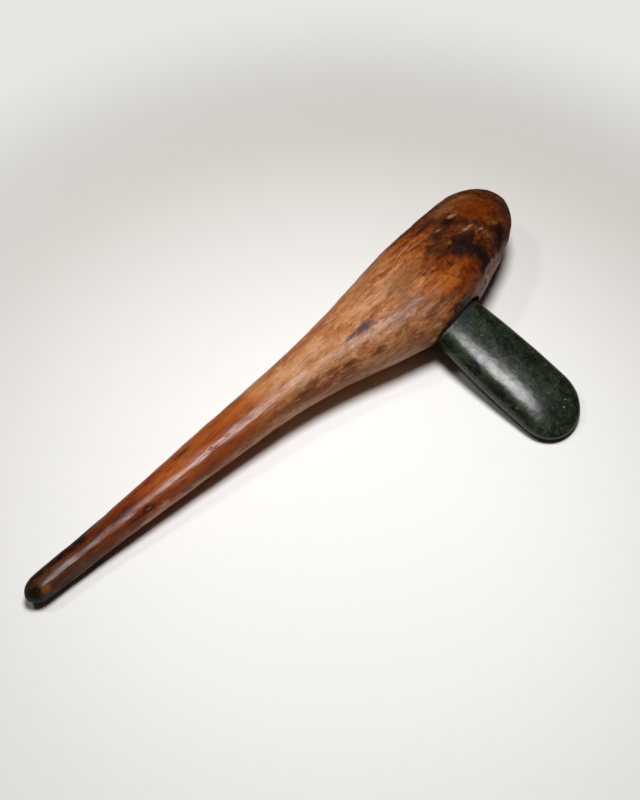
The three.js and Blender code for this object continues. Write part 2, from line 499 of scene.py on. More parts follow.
# small tools for the materials
def newMaterial(name):
    material = bpy.data.materials.new(name)
    material.use_nodes = True
    material.node_tree.nodes.clear()
    return material, material.node_tree


def addNode(tree, kind, inputs, **settings):
    # inputs go by name or number; a socket is linked and anything else is set as a value
    node = tree.nodes.new("ShaderNode" + kind)
    for name, value in settings.items():
        setattr(node, name, value)
    for key, value in inputs.items():
        if isinstance(value, bpy.types.NodeSocket):
            tree.links.new(value, node.inputs[key])
        else:
            node.inputs[key].default_value = value
    return node


def maths(tree, operation, first, second=0.0, clamp=False):
    return addNode(tree, "Math", {0: first, 1: second}, operation=operation, use_clamp=clamp).outputs[0]


def vectorMaths(tree, operation, first, second=(0, 0, 0), scale=1.0):
    inputs = {0: first, 3: scale} if operation == "SCALE" else {0: first, 1: second}
    node = addNode(tree, "VectorMath", inputs, operation=operation)
    return node.outputs["Value" if operation == "LENGTH" else "Vector"]


def noise(tree, place, size, stretch=(1, 1, 1), detail=3.0, roughness=0.55, shift=(0, 0, 0)):
    # size is the width of one feature in metres, drawn out along each axis by stretch
    scale = [1 / (size * share) for share in stretch]
    spot = addNode(tree, "Mapping", {"Vector": place, "Scale": scale, "Location": shift})
    return addNode(tree, "TexNoise", {"Vector": spot.outputs[0], "Scale": 1.0, "Detail": detail,
                                      "Roughness": roughness})


def rangeOf(tree, value, low, high, toLow=0.0, toHigh=1.0, smooth=True):
    node = addNode(tree, "MapRange", {"Value": value, "From Min": low, "From Max": high,
                                      "To Min": toLow, "To Max": toHigh},
                   interpolation_type="SMOOTHSTEP" if smooth else "LINEAR")
    return node.outputs["Result"]


def mixColour(tree, share, first, second, blend="MIX"):
    node = addNode(tree, "Mix", {0: share, 6: first, 7: second}, data_type="RGBA", blend_type=blend)
    return node.outputs[2]


def colourRamp(tree, value, stops):
    node = addNode(tree, "ValToRGB", {"Fac": value})
    ramp = node.color_ramp
    for spot, colour in stops[1:-1]:
        ramp.elements.new(spot)
    for element, (spot, colour) in zip(ramp.elements, stops):
        element.position = spot
        element.color = colour
    return node.outputs["Color"]


def fromMiddle(tree, place, middle, reach):
    # the distance from an ellipsoid's middle, 1 on its surface
    away = vectorMaths(tree, "SUBTRACT", place, middle)
    return vectorMaths(tree, "LENGTH", vectorMaths(tree, "MULTIPLY", away, [1 / size for size in reach]))


def rgb(red, green, blue):
    return (red, green, blue, 1)


# the haft's own colours, and the tints that its figure lays over them
woodColours = {
    # share of the way along the haft, then the colour there
    "along": [
        (0.00, rgb(0.040, 0.016, 0.007)),
        (0.03, rgb(0.085, 0.030, 0.009)),
        (0.10, rgb(0.105, 0.027, 0.006)),
        (0.16, rgb(0.185, 0.042, 0.007)),
        (0.22, rgb(0.285, 0.068, 0.011)),
        (0.385, rgb(0.300, 0.074, 0.012)),
        (0.430, rgb(0.370, 0.145, 0.047)),
        (0.62, rgb(0.365, 0.147, 0.048)),
        (0.71, rgb(0.365, 0.136, 0.041)),
        (0.77, rgb(0.260, 0.074, 0.013)),
        (0.82, rgb(0.135, 0.035, 0.006)),
        (0.93, rgb(0.125, 0.031, 0.005)),
        (1.00, rgb(0.085, 0.027, 0.008)),
    ],
    "redTint": rgb(0.70, 0.42, 0.32),
    "paleTint": rgb(1.25, 1.35, 1.55),
    "darkGrain": rgb(0.55, 0.40, 0.34),
    "paleFleck": rgb(0.62, 0.34, 0.17),
    "bareWood": rgb(0.55, 0.29, 0.135),
    "darkRing": rgb(0.26, 0.15, 0.12),
    "paleRing": rgb(1.50, 1.60, 1.65),
    "darkMottle": rgb(0.42, 0.26, 0.20),
    "tanMottle": rgb(0.30, 0.115, 0.034),
    "orangeMottle": rgb(0.30, 0.066, 0.007),
    "darkLine": rgb(0.035, 0.012, 0.007),
    # dirt and painted shade round the blade's mouth
    "dirtAndShade": rgb(0.012, 0.007, 0.006),
}

# each pattern: size of a feature, how it is drawn out along x, y and z, detail, roughness, shift
woodPatterns = {
    "coarseWarp": (0.016, (1.8, 1, 1), 2),
    "fineWarp": (0.0035, (2.2, 1, 1), 3),
    "ragged": (0.0065, (1.8, 1, 1), 5, 0.68, (5.5, 2.5, 1.5)),
    "streaky": (0.0016, (7, 1, 1), 3, 0.6, (4.4, 1.1, 6.2)),
    "drift": (0.013, (4.5, 1, 1), 3, 0.6),
    "clouds": (0.013, (1.5, 1, 1), 5, 0.62, (1.3, 4.2, 8.8)),
    "mottle": (0.0050, (1.7, 1, 1), 5, 0.68, (7.3, 4.2, 2.8)),
    "ringAmount": (0.028, (1, 1, 1), 1, 0.5, (2.2, 6.1, 4.9)),
    "grain": (0.0022, (16, 1, 1), 4, 0.65),
    "flecks": (0.0012, (20, 1, 1), 3, 0.55, (3.1, 7.7, 1.9)),
    "flakes": (0.0060, (2.2, 1, 1), 6, 0.72, (8.3, 2.7, 5.1)),
    "pores": (0.0009, (7, 1, 1), 2, 0.6, (1.9, 5.5, 7.3)),
    "scratches": (0.0011, (20, 1, 1), 1, 0.4, (9.4, 2.2, 5.5)),
    "scratchPatches": (0.022, (1.5, 1, 1), 1, 0.4, (2.4, 9.1, 3.3)),
    "gloss": (0.012, (2, 1, 1), 3, 0.6, (6.1, 0.4, 2.7)),
    "stipple": (0.0011, (1.6, 1, 1), 2, 0.6, (4, 4, 4)),
}

# each layer of figure: where its pattern starts to show and shows in full, strength, colour, blend
woodLayers = {
    "redDrift": (0.52, 0.36, 0.85, "redTint", "MULTIPLY"),
    "paleDrift": (0.54, 0.70, 0.85, "paleTint", "MULTIPLY"),
    "tanClouds": (0.53, 0.66, 0.38, "tanMottle", "MIX"),
    "orangeClouds": (0.48, 0.38, 0.35, "orangeMottle", "MIX"),
    "darkMottle": (0.52, 0.36, 0.85, "darkMottle", "MULTIPLY"),
    "darkGrain": (0.54, 0.36, 0.65, "darkGrain", "MULTIPLY"),
    "paleFlecks": (0.54, 0.70, 0.42, "paleFleck", "MIX"),
    "bareFlakes": (0.50, 0.62, 0.60, "bareWood", "MIX"),
    "pores": (0.47, 0.36, 0.55, "darkGrain", "MULTIPLY"),
}

# shares of the way along the haft over which each zone sets in and, on the shaft, dies out again
woodZones = {"head": (0.60, 0.76), "flecks": (0.36, 0.46, 0.66, 0.80), "flakes": (0.34, 0.48, 0.62, 0.76)}

# growth rings: straight on the shaft, wrapping round inside the nose
woodRings = {
    "middle": (0.456, -0.041, 0.050),  # from the haft's origin
    "acrossShare": 1.5,  # the rings are flattened ovals, narrow across and tall
    "upShare": 0.45,
    "turnStart": 0.004,
    "waviness": 2.4,  # how often the rings waver as they turn round the nose
    "drift": 26.0,  # how often they waver along the haft
    "amount": (0.38, 0.58, 0.45, 1.0),
    "sets": [(0.0062, 0.80, 3.0), (0.0022, 0.60, 8.0)],  # spacing, strength and seed
    "detail": 3.0,
    "roughness": 0.58,
    "dark": (0.50, 0.36),
    "pale": (0.55, 0.68),
}

# each group: colour, strength, softness of the edge, then spots of (along, turn, half length, half width)
patches = {
    "butt": (rgb(0.006, 0.002, 0.001), 0.97, 0.35, [
        (0.000, 112, 0.0120, 0.0170), (0.044, 50, 0.0460, 0.0060), (0.018, 186, 0.0300, 0.0045)]),
    "gripRed": (rgb(0.230, 0.050, 0.010), 0.60, 0.70, [
        (0.200, 150, 0.0800, 0.0070), (0.325, 143, 0.0280, 0.0045), (0.296, 54, 0.0340, 0.0048),
        (0.322, 162, 0.0620, 0.0060)]),
    # painted reflection and bounce light of the floor, pale along the haft's underside
    "belly": (rgb(0.560, 0.310, 0.180), 0.88, 0.70, [
        (0.150, 192, 0.1000, 0.0052), (0.280, 199, 0.0700, 0.0085), (0.390, 198, 0.0600, 0.0100)]),
    # worn pale wood and a painted sheen, on the top of the shaft
    "topPaleAndSheen": (rgb(0.500, 0.290, 0.165), 0.62, 0.70, [
        (0.314, 88, 0.0540, 0.0065), (0.397, 82, 0.0360, 0.0090)]),
    "band": (rgb(0.190, 0.072, 0.026), 0.62, 0.60, [
        (0.420, 108, 0.0110, 0.0170), (0.440, 124, 0.0190, 0.0085), (0.402, 124, 0.0140, 0.0070),
        (0.434, 96, 0.0150, 0.0080)]),
    "shade": (rgb(0.135, 0.040, 0.014), 0.78, 0.60, [
        (0.282, 152, 0.0220, 0.0064), (0.416, 143, 0.0180, 0.0045), (0.369, 149, 0.0090, 0.0030),
        (0.396, 139, 0.0110, 0.0030), (0.338, 145, 0.0150, 0.0030)]),
    "orange": (rgb(0.40, 0.105, 0.012), 0.75, 0.65, [(0.454, 121, 0.0240, 0.0110)]),
    "amber": (rgb(0.128, 0.027, 0.004), 0.82, 0.58, [
        (0.474, 106, 0.0270, 0.0150), (0.545, 92, 0.0280, 0.0150), (0.466, 139, 0.0120, 0.0060)]),
    "tan": (rgb(0.20, 0.080, 0.030), 0.72, 0.60, [
        (0.532, 62, 0.0320, 0.0080), (0.524, 106, 0.0120, 0.0070), (0.452, 141, 0.0180, 0.0065),
        (0.430, 147, 0.0140, 0.0060)]),
    "brown": (rgb(0.075, 0.025, 0.010), 0.76, 0.60, [
        (0.504, 76, 0.0240, 0.0090), (0.505, 42, 0.0450, 0.0060), (0.486, 76, 0.0200, 0.0045),
        (0.499, 96, 0.0120, 0.0070), (0.534, 108, 0.0060, 0.0050), (0.543, 150, 0.0110, 0.0100),
        (0.503, 150, 0.0100, 0.0040), (0.592, 118, 0.0080, 0.0140)]),
    "crown": (rgb(0.075, 0.024, 0.009), 0.76, 0.50, [
        (0.514, 112, 0.0220, 0.0190), (0.485, 79, 0.0140, 0.0075), (0.483, 92, 0.0150, 0.0080)]),
    "black": (rgb(0.013, 0.004, 0.003), 0.94, 0.48, [
        (0.510, 81, 0.0095, 0.0065), (0.493, 107, 0.0110, 0.0080), (0.509, 116, 0.0130, 0.0100),
        (0.511, 131, 0.0100, 0.0100), (0.516, 149, 0.0080, 0.0070), (0.544, 124, 0.0050, 0.0050),
        (0.557, 139, 0.0060, 0.0090), (0.545, 152, 0.0075, 0.0080)]),
    # a painted reflection of the floor on the head's underside beside the mouth
    "strip": (rgb(0.30, 0.150, 0.095), 0.86, 0.45, [
        (0.498, 164, 0.0120, 0.0062), (0.526, 163, 0.0170, 0.0048)]),
}

# laid over the figure
overlays = {
    "glow": (rgb(0.155, 0.033, 0.003), 0.50, 0.60, [
        (0.547, 94, 0.0240, 0.0130), (0.468, 140, 0.0100, 0.0050)]),
    "orange": (rgb(0.42, 0.115, 0.014), 0.50, 0.70, [(0.452, 122, 0.0180, 0.0080)]),
    "umber": (rgb(0.050, 0.016, 0.007), 0.72, 0.75, [
        (0.494, 80, 0.0130, 0.0070), (0.480, 92, 0.0110, 0.0055), (0.503, 68, 0.0150, 0.0050)]),
    "arcs": (rgb(0.030, 0.009, 0.005), 0.84, 0.60, [
        (0.501, 60, 0.0110, 0.0036), (0.513, 82, 0.0085, 0.0064), (0.523, 95, 0.0055, 0.0056),
        (0.532, 105, 0.0045, 0.0055), (0.541, 119, 0.0042, 0.0065), (0.549, 134, 0.0042, 0.0070),
        (0.492, 84, 0.0060, 0.0040)]),
    "black": (rgb(0.009, 0.002, 0.002), 0.86, 0.60, [
        (0.505, 112, 0.0130, 0.0085), (0.512, 128, 0.0085, 0.0100), (0.515, 143, 0.0075, 0.0080),
        (0.508, 149, 0.0060, 0.0050), (0.512, 82, 0.0060, 0.0050), (0.554, 144, 0.0050, 0.0090)]),
}

# brushed on along the grain
brushed = {
    "dark": (rgb(0.032, 0.013, 0.011), 0.85, 0.60, [
        (0.095, 98, 0.0210, 0.0028), (0.072, 97, 0.0100, 0.0020), (0.105, 144, 0.0080, 0.0016),
        (0.170, 70, 0.0140, 0.0016)]),
    "rust": (rgb(0.085, 0.024, 0.009), 0.78, 0.70, [
        (0.300, 140, 0.0080, 0.0040), (0.290, 147, 0.0170, 0.0020), (0.318, 141, 0.0120, 0.0020),
        (0.338, 146, 0.0120, 0.0018), (0.368, 152, 0.0070, 0.0022)]),
    "cheek": (rgb(0.185, 0.076, 0.031), 0.62, 0.85, [
        (0.428, 90, 0.0200, 0.0085), (0.408, 124, 0.0170, 0.0070), (0.432, 128, 0.0130, 0.0060)]),
    "red": (rgb(0.200, 0.042, 0.011), 0.80, 0.50, [
        (0.358, 133, 0.0080, 0.0026), (0.296, 160, 0.0330, 0.0034), (0.335, 157, 0.0280, 0.0030),
        (0.262, 152, 0.0300, 0.0026)]),
    "scorch": (rgb(0.022, 0.021, 0.036), 0.88, 0.75, [
        (0.368, 108, 0.0100, 0.0042), (0.352, 110, 0.0120, 0.0014), (0.474, 157, 0.0110, 0.0034)]),
    "pale": (rgb(0.42, 0.23, 0.13), 0.60, 0.60, [
        (0.381, 119, 0.0055, 0.0028), (0.300, 99, 0.0120, 0.0014), (0.322, 113, 0.0120, 0.0016),
        (0.274, 97, 0.0110, 0.0018), (0.288, 110, 0.0090, 0.0012), (0.522, 79, 0.0050, 0.0016),
        (0.523, 104, 0.0090, 0.0012), (0.533, 117, 0.0050, 0.0011), (0.495, 79, 0.0050, 0.0009),
        (0.446, 63, 0.0260, 0.0010), (0.455, 69, 0.0220, 0.0009)]),
}

# small and crisp: the knot's eye, pits, slits, chips
marks = {
    "black": (rgb(0.007, 0.004, 0.003), 0.96, 0.28, [
        (0.119, 141, 0.0062, 0.0030), (0.192, 115, 0.0020, 0.0010), (0.212, 116, 0.0014, 0.0009),
        (0.505, 168, 0.0011, 0.0024)]),
    "knotEye": (rgb(0.22, 0.075, 0.026), 0.95, 0.25, [(0.1196, 141, 0.0043, 0.0018)]),
    "knotHeart": (rgb(0.020, 0.008, 0.005), 0.90, 0.35, [(0.1200, 141, 0.0018, 0.0007)]),
    "tan": (rgb(0.20, 0.066, 0.014), 0.80, 0.48, [
        (0.0165, 138, 0.0040, 0.0040), (0.492, 98, 0.0026, 0.0018)]),
    "pale": (rgb(0.42, 0.26, 0.17), 0.80, 0.42, [
        (0.497, 111, 0.0012, 0.0009), (0.456, 152, 0.0024, 0.0020), (0.4235, 182, 0.0028, 0.0024),
        (0.427, 160, 0.0060, 0.0020)]),
}

# dirt packed round the blade where it enters the haft, with painted shade of the socket's gap, in an oval a
# little wider than the blade
mouthDirtAndShade = {"halfWidth": 0.0340, "halfThick": 0.0262, "edge": (1.10, 0.97), "depth": (0.085, 0.060),
             "streaks": 0.05, "strength": 0.92}

woodFinish = {
    "warp": {"fine": 0.0014, "coarse": 0.016, "fineAgain": 2.5},  # fineAgain in shares of fine
    "raggedness": 2.6,
    "crispness": 0.12,  # the share of that raggedness left on the small crisp marks
    "streakiness": 3.2,
    "lean": radians(4),  # the haft rises towards its head, and the grain rises with it
    "scratches": (0.34, 0.27, 0.0, 0.6),
    "scratchPatches": (0.50, 0.60),
    "roughness": (0.24, 0.34),
    "flakyRoughness": 0.10,  # added where the varnish has flaked away
    "darkRoughness": (0.050, 0.010, 0.0, 0.20),  # added where the wood is charred or dirty
    "ior": 1.45,
    "specular": 0.32,
    "bump": {"stipple": 0.45, "grain": 0.35, "strength": 0.45, "distance": 0.0004},
}


# a noise pattern's middle, as a colour, and its usual lowest and highest values
middleGrey = (0.5, 0.5, 0.5)
noiseReach = (0.3, 0.7)


def pattern(tree, place, patterns, name):
    return noise(tree, place, *patterns[name]).outputs["Fac"]


def patternPush(tree, place, patterns, name, strength):
    # a pattern's colour turned into a push in every direction
    colour = noise(tree, place, *patterns[name]).outputs["Color"]
    return vectorMaths(tree, "SCALE", vectorMaths(tree, "SUBTRACT", colour, middleGrey), scale=strength)


def scaled(tree, value, share):
    return maths(tree, "MULTIPLY", value, share)


def unevenness(tree, value, strength):
    # a pattern turned into a push either way
    return scaled(tree, maths(tree, "SUBTRACT", value, 0.5), strength)


def bumpFrom(tree, height, values):
    inputs = {"Strength": values["strength"], "Distance": values["distance"], "Height": height}
    return addNode(tree, "Bump", inputs).outputs[0]


def blended(tree, first, firstShare, second, secondShare):
    return maths(tree, "ADD", scaled(tree, first, firstShare), scaled(tree, second, secondShare))


def finishMaterial(tree, inputs):
    shader = addNode(tree, "BsdfPrincipled", inputs)
    addNode(tree, "OutputMaterial", {"Surface": shader.outputs[0]})


def warpedPlace(tree, raw):
    # the object's own coordinates, pushed about a little so that no edge runs true
    warp = woodFinish["warp"]
    fine = patternPush(tree, raw, woodPatterns, "fineWarp", warp["fine"])
    coarse = patternPush(tree, raw, woodPatterns, "coarseWarp", warp["coarse"])
    lightly = vectorMaths(tree, "ADD", raw, fine)
    fully = vectorMaths(tree, "ADD", lightly, coarse)
    fineAgain = vectorMaths(tree, "SCALE", fine, scale=warp["fineAgain"])
    return lightly, vectorMaths(tree, "ADD", fully, fineAgain)


def zoneOf(tree, share, name):
    # how far a place along the haft is inside a zone
    start, full, *fading = woodZones[name]
    zone = rangeOf(tree, share, start, full)
    if fading:
        zone = scaled(tree, zone, rangeOf(tree, share, fading[1], fading[0]))
    return zone


def addLayer(tree, colour, name, value, zone=None):
    low, high, strength, tone, blend = woodLayers[name]
    mask = rangeOf(tree, value, low, high, 0.0, strength)
    if zone is not None:
        mask = scaled(tree, mask, zone)
    return mixColour(tree, mask, colour, woodColours[tone], blend)


def addStain(tree, colour, away, ragged, edge, strength, tone):
    mask = rangeOf(tree, maths(tree, "ADD", away, ragged), 1 + edge, 1 - edge, 0.0, strength)
    return mixColour(tree, mask, colour, tone)


def addStains(tree, colour, stains, place, ragged):
    for tone, strength, edge, spots in stains.values():
        nearest = None
        for along, turn, halfLength, halfWidth in spots:
            away = fromMiddle(tree, place, haftPoint(along, turn), (halfLength, halfWidth, halfWidth))
            nearest = away if nearest is None else maths(tree, "MINIMUM", nearest, away)
        colour = addStain(tree, colour, nearest, ragged, edge, strength, tone)
    return colour


def addClouds(tree, colour, place, inHead):
    clouds = pattern(tree, place, woodPatterns, "clouds")
    colour = addLayer(tree, colour, "tanClouds", clouds, inHead)
    colour = addLayer(tree, colour, "orangeClouds", clouds, inHead)
    mottle = pattern(tree, place, woodPatterns, "mottle")
    return addLayer(tree, colour, "darkMottle", mottle, inHead)


def addRings(tree, colour, place, alongX, inHead):
    ringMiddle = haftOrigin + Vector(woodRings["middle"])
    parts = addNode(tree, "SeparateXYZ", {0: vectorMaths(tree, "SUBTRACT", place, ringMiddle)}).outputs
    beyond = maths(tree, "MAXIMUM", parts["X"], 0.0)
    sideways = scaled(tree, parts["Y"], woodRings["acrossShare"])
    flat = addNode(tree, "CombineXYZ", {"X": beyond, "Y": sideways,
                                        "Z": scaled(tree, parts["Z"], woodRings["upShare"])})
    ringDistance = vectorMaths(tree, "LENGTH", flat.outputs[0])
    ringTurn = maths(tree, "ARCTAN2", sideways, maths(tree, "ADD", beyond, woodRings["turnStart"]))
    amount = rangeOf(tree, pattern(tree, place, woodPatterns, "ringAmount"), *woodRings["amount"])
    amount = scaled(tree, amount, inHead)
    for spacing, strength, seed in woodRings["sets"]:
        spot = addNode(tree, "CombineXYZ", {"X": scaled(tree, ringDistance, 1 / spacing),
                                            "Y": scaled(tree, ringTurn, woodRings["waviness"]),
                                            "Z": scaled(tree, alongX, woodRings["drift"])})
        shifted = vectorMaths(tree, "ADD", spot.outputs[0], (seed, seed, seed))
        rings = addNode(tree, "TexNoise", {"Vector": shifted, "Scale": 1.0, "Detail": woodRings["detail"],
                                           "Roughness": woodRings["roughness"]})
        for edges, tone in (("dark", "darkRing"), ("pale", "paleRing")):
            share = rangeOf(tree, rings.outputs["Fac"], *woodRings[edges], 0.0, strength)
            colour = mixColour(tree, scaled(tree, share, amount), colour, woodColours[tone], "MULTIPLY")
    return colour


def fromMouth(tree, place):
    # a place seen from the mouth, with x running into the haft along the blade
    spot = {"Vector": place, "Location": mouthPlace, "Rotation": tuple(mouthTurn)}
    return addNode(tree, "Mapping", spot, vector_type="TEXTURE").outputs[0]


def addDirtAndShade(tree, colour, place, streaky):
    local = fromMouth(tree, place)
    reach = addNode(tree, "SeparateXYZ", {0: vectorMaths(tree, "ABSOLUTE", local)}).outputs
    oval = addNode(tree, "CombineXYZ", {"X": scaled(tree, reach["Y"], 1 / mouthDirtAndShade["halfWidth"]),
                                        "Y": scaled(tree, reach["Z"], 1 / mouthDirtAndShade["halfThick"])})
    fromStone = maths(tree, "ADD", vectorMaths(tree, "LENGTH", oval.outputs[0]),
                      scaled(tree, streaky, mouthDirtAndShade["streaks"]))
    # dirt and painted shade of the socket's gap, dying out away from the blade and deeper in
    dirtAndShade = scaled(tree, rangeOf(tree, fromStone, *mouthDirtAndShade["edge"], 0.0, mouthDirtAndShade["strength"]),
                  rangeOf(tree, reach["X"], *mouthDirtAndShade["depth"]))
    return mixColour(tree, dirtAndShade, colour, woodColours["dirtAndShade"])


def woodRoughness(tree, raw, colour, flakeZone):
    # finger-worn and uneven, duller where it is flaky, charred or dirty
    gloss = pattern(tree, raw, woodPatterns, "gloss")
    roughness = rangeOf(tree, gloss, *noiseReach, *woodFinish["roughness"], smooth=False)
    roughness = maths(tree, "ADD", roughness, scaled(tree, flakeZone, woodFinish["flakyRoughness"]))
    redness = addNode(tree, "SeparateColor", {0: colour}).outputs["Red"]
    return maths(tree, "ADD", roughness, rangeOf(tree, redness, *woodFinish["darkRoughness"]), clamp=True)


def woodBump(tree, raw, grain, scratches):
    values = woodFinish["bump"]
    stipple = pattern(tree, raw, woodPatterns, "stipple")
    height = blended(tree, stipple, values["stipple"], grain, values["grain"])
    height = maths(tree, "SUBTRACT", height, scratches)
    return bumpFrom(tree, height, values)


def makeWood():
    material, tree = newMaterial("haftWood")
    raw = addNode(tree, "TexCoord", {}).outputs["Object"]
    lightly, place = warpedPlace(tree, raw)
    ragged = unevenness(tree, pattern(tree, raw, woodPatterns, "ragged"), woodFinish["raggedness"])
    hardlyRagged = scaled(tree, ragged, woodFinish["crispness"])
    lean = addNode(tree, "Mapping", {"Vector": raw, "Rotation": (0, woodFinish["lean"], 0)}).outputs[0]
    streaky = unevenness(tree, pattern(tree, lean, woodPatterns, "streaky"), woodFinish["streakiness"])
    spot = addNode(tree, "SeparateXYZ", {0: place}).outputs
    share = rangeOf(tree, spot["X"], haftLow.x, haftHigh.x, smooth=False)
    inHead, fleckZone, flakeZone = [zoneOf(tree, share, name) for name in ("head", "flecks", "flakes")]

    # the wood's own colour, with redder and paler drifts drawn out along the grain
    colour = colourRamp(tree, share, woodColours["along"])
    drift = pattern(tree, lean, woodPatterns, "drift")
    colour = addLayer(tree, colour, "redDrift", drift)
    colour = addLayer(tree, colour, "paleDrift", drift)
    colour = addStains(tree, colour, patches, place, ragged)
    colour = addClouds(tree, colour, place, inHead)
    colour = addRings(tree, colour, place, spot["X"], inHead)
    colour = addStains(tree, colour, overlays, place, ragged)

    # fine grain, pale flecks and flaking along the shaft, and pores
    grain = pattern(tree, lean, woodPatterns, "grain")
    colour = addLayer(tree, colour, "darkGrain", grain)
    colour = addLayer(tree, colour, "paleFlecks", pattern(tree, lean, woodPatterns, "flecks"), fleckZone)
    colour = addLayer(tree, colour, "bareFlakes", pattern(tree, lightly, woodPatterns, "flakes"), flakeZone)
    colour = addLayer(tree, colour, "pores", pattern(tree, lean, woodPatterns, "pores"))

    # thin dark scratches, then stains brushed on, small marks, and dirt with painted shade at the blade's
    # mouth
    scratches = rangeOf(tree, pattern(tree, lean, woodPatterns, "scratches"), *woodFinish["scratches"])
    scratchPatch = pattern(tree, raw, woodPatterns, "scratchPatches")
    scratches = scaled(tree, scratches, rangeOf(tree, scratchPatch, *woodFinish["scratchPatches"]))
    colour = mixColour(tree, scratches, colour, woodColours["darkLine"])
    colour = addStains(tree, colour, brushed, lightly, streaky)
    colour = addStains(tree, colour, marks, lightly, hardlyRagged)
    colour = addDirtAndShade(tree, colour, lightly, streaky)

    finishMaterial(tree, {
        "Base Color": colour, "Roughness": woodRoughness(tree, raw, colour, flakeZone),
        "IOR": woodFinish["ior"], "Specular IOR Level": woodFinish["specular"],
        "Normal": woodBump(tree, raw, grain, scratches)})
    return material


stoneColours = {
    "deep": rgb(0.0018, 0.0032, 0.0015),
    "body": rgb(0.0066, 0.0112, 0.0052),
    "light": rgb(0.0260, 0.0390, 0.0195),
    "fleck": rgb(0.090, 0.120, 0.070),
    "blueGrey": rgb(0.022, 0.030, 0.036),
    "residue": rgb(0.22, 0.15, 0.10),
    # dark pitch with painted shade, on the part of the stone inside the haft's mouth
    "pitch": rgb(0.0070, 0.0040, 0.0030),
    "pale": rgb(0.42, 0.40, 0.30),
}

# middles in the axe's own frame, half sizes, colour, strength, softness
stoneMarks = {
    "blueGreyPatch": ((0.150, 0.008, 0.045), (0.010, 0.007, 0.008), "blueGrey", 0.70, 0.60),
    "chipOne": ((0.1642, -0.1062, 0.0197), (0.0009, 0.0008, 0.003), "pale", 0.55, 0.50),
    "chipTwo": ((0.1572, -0.1103, 0.0185), (0.0011, 0.0006, 0.003), "pale", 0.45, 0.50),
    "residueLine": ((0.136, 0.0145, 0.043), (0.0130, 0.0011, 0.004), "residue", 0.75, 0.60),
}

# each pattern: size of a feature, how it is drawn out along x, y and z, detail, roughness, shift
stonePatterns = {
    "swirl": (0.012, (1, 1, 1), 3),
    "cloud": (0.011, (1, 1.5, 1), 5, 0.66),
    "fleckPatches": (0.016, (1, 1, 1), 2, 0.55, (7, 1, 3)),
    "flecks": (0.0036, (1, 1.3, 1), 3, 0.6, (2, 5, 1)),
    "fineFlecks": (0.0015, (1, 1.3, 1), 3, 0.6, (6, 3, 8)),
    "darkSpecks": (0.0020, (1, 1, 1), 3, 0.6, (9, 2, 6)),
    "ragged": (0.0030, (1, 1, 1), 4, 0.65, (8, 8, 2)),
    "polish": (0.006, (1, 1, 1), 4, 0.65, (3, 3, 3)),
    "stipple": (0.0009, (1, 1, 1), 2, 0.55, (1, 8, 2)),
}

stoneFinish = {
    "swirl": 0.010,
    "cloudStops": (0.32, 0.47, 0.66),
    "fleckPatches": (0.40, 0.60, 0.25, 1.0),
    "flecks": {"flecks": (0.50, 0.68, 0.0, 0.26), "fineFlecks": (0.52, 0.70, 0.0, 0.42)},
    "darkSpecks": (0.48, 0.36, 0.0, 0.75),
    "raggedness": 2.0,
    "seat": (-0.0030, -0.0012),  # how far out of the mouth the dark pitch and painted shade on the stone's seat reach
    "seatRagged": 0.0012,
    "seatStrength": 0.96,
    "seatRoughness": 0.50,
    "roughness": (0.22, 0.30),
    "ior": 1.62,
    "bump": {"stipple": 0.3, "polish": 0.5, "strength": 0.25, "distance": 0.0005},
}


def addMottling(tree, raw):
    swirl = patternPush(tree, raw, stonePatterns, "swirl", stoneFinish["swirl"])
    place = vectorMaths(tree, "ADD", raw, swirl)
    tones = [stoneColours[name] for name in ("deep", "body", "light")]
    cloud = pattern(tree, place, stonePatterns, "cloud")
    colour = colourRamp(tree, cloud, list(zip(stoneFinish["cloudStops"], tones)))
    inPatch = rangeOf(tree, pattern(tree, raw, stonePatterns, "fleckPatches"), *stoneFinish["fleckPatches"])
    for name, reach in stoneFinish["flecks"].items():
        share = rangeOf(tree, pattern(tree, place, stonePatterns, name), *reach)
        colour = mixColour(tree, scaled(tree, share, inPatch), colour, stoneColours["fleck"])
    specks = rangeOf(tree, pattern(tree, place, stonePatterns, "darkSpecks"), *stoneFinish["darkSpecks"])
    return mixColour(tree, specks, colour, stoneColours["deep"])


def addStoneMarks(tree, colour, raw, ragged):
    for middle, reach, tone, strength, edge in stoneMarks.values():
        away = fromMiddle(tree, raw, middle, reach)
        colour = addStain(tree, colour, away, ragged, edge, strength, stoneColours[tone])
    return colour


def seatShare(tree, raw, ragged):
    # the part of the stone that sits in the wood
    inward = addNode(tree, "SeparateXYZ", {0: fromMouth(tree, raw)}).outputs["X"]
    inward = maths(tree, "ADD", inward, scaled(tree, ragged, stoneFinish["seatRagged"]))
    return rangeOf(tree, inward, *stoneFinish["seat"])


def makeGreenStone():
    material, tree = newMaterial("greenStone")
    raw = addNode(tree, "TexCoord", {}).outputs["Object"]
    ragged = unevenness(tree, pattern(tree, raw, stonePatterns, "ragged"), stoneFinish["raggedness"])
    seat = seatShare(tree, raw, ragged)
    colour = addStoneMarks(tree, addMottling(tree, raw), raw, ragged)
    # the seat is darkened with pitch and painted shade
    colour = mixColour(tree, scaled(tree, seat, stoneFinish["seatStrength"]), colour, stoneColours["pitch"])

    polish = pattern(tree, raw, stonePatterns, "polish")
    roughness = rangeOf(tree, polish, *noiseReach, *stoneFinish["roughness"], smooth=False)
    roughness = maths(tree, "ADD", roughness, scaled(tree, seat, stoneFinish["seatRoughness"]), clamp=True)
    values = stoneFinish["bump"]
    stipple = pattern(tree, raw, stonePatterns, "stipple")
    height = blended(tree, stipple, values["stipple"], polish, values["polish"])
    finishMaterial(tree, {"Base Color": colour, "Roughness": roughness, "IOR": stoneFinish["ior"],
                          "Normal": bumpFrom(tree, height, values)})
    return material


for piece, material in ((haft, makeWood()), (stone, makeGreenStone())):
    piece.data.materials.clear()
    piece.data.materials.append(material)
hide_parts("haft")
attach(haft, "root")
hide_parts("axe_head")
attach(stone, "root")
print("materials made")

backdropColour = rgb(0.80, 0.79, 0.77)
